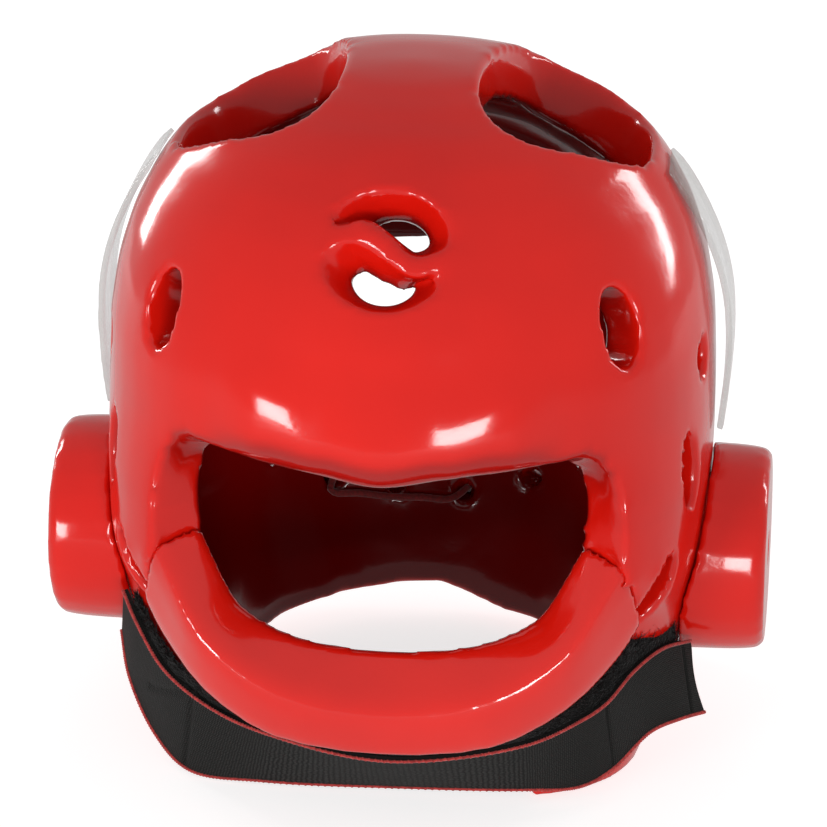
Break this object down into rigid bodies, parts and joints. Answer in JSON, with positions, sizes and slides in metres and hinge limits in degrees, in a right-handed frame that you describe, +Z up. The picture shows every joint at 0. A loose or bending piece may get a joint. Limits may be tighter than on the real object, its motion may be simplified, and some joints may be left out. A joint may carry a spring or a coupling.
{
  "type": "sparring head guard",
  "caption": "Dipped foam sparring head guard with open face, chin guard, round ear cups, split round forehead vent, clear side bands and an elastic chin strap.",
  "frame": {"origin": "middle of the footprint box, on the surface that the flap ends rest on", "axes": "-Y the way the face looks, +Z up, +X to the wearer's left"},
  "size_m": [0.273, 0.2298, 0.2705],
  "materials": {
    "shell_skin": "smooth glossy dipped vinyl",
    "clear_band": "clear moulded plastic",
    "strap_elastic": "woven elastic",
    "loop_fabric": "brushed loop fabric",
    "lace_cord": "round cord"
  },
  "bodies": {
    "root": {"head_shell": "shell_skin", "chin_guard": "shell_skin", "ear_cup_left": "shell_skin", "ear_cup_right": "shell_skin", "side_band_left": "clear_band", "side_band_right": "clear_band", "chin_strap": "strap_elastic", "under_strap": "loop_fabric", "back_lace": "lace_cord"}
  },
  "joints": []
}
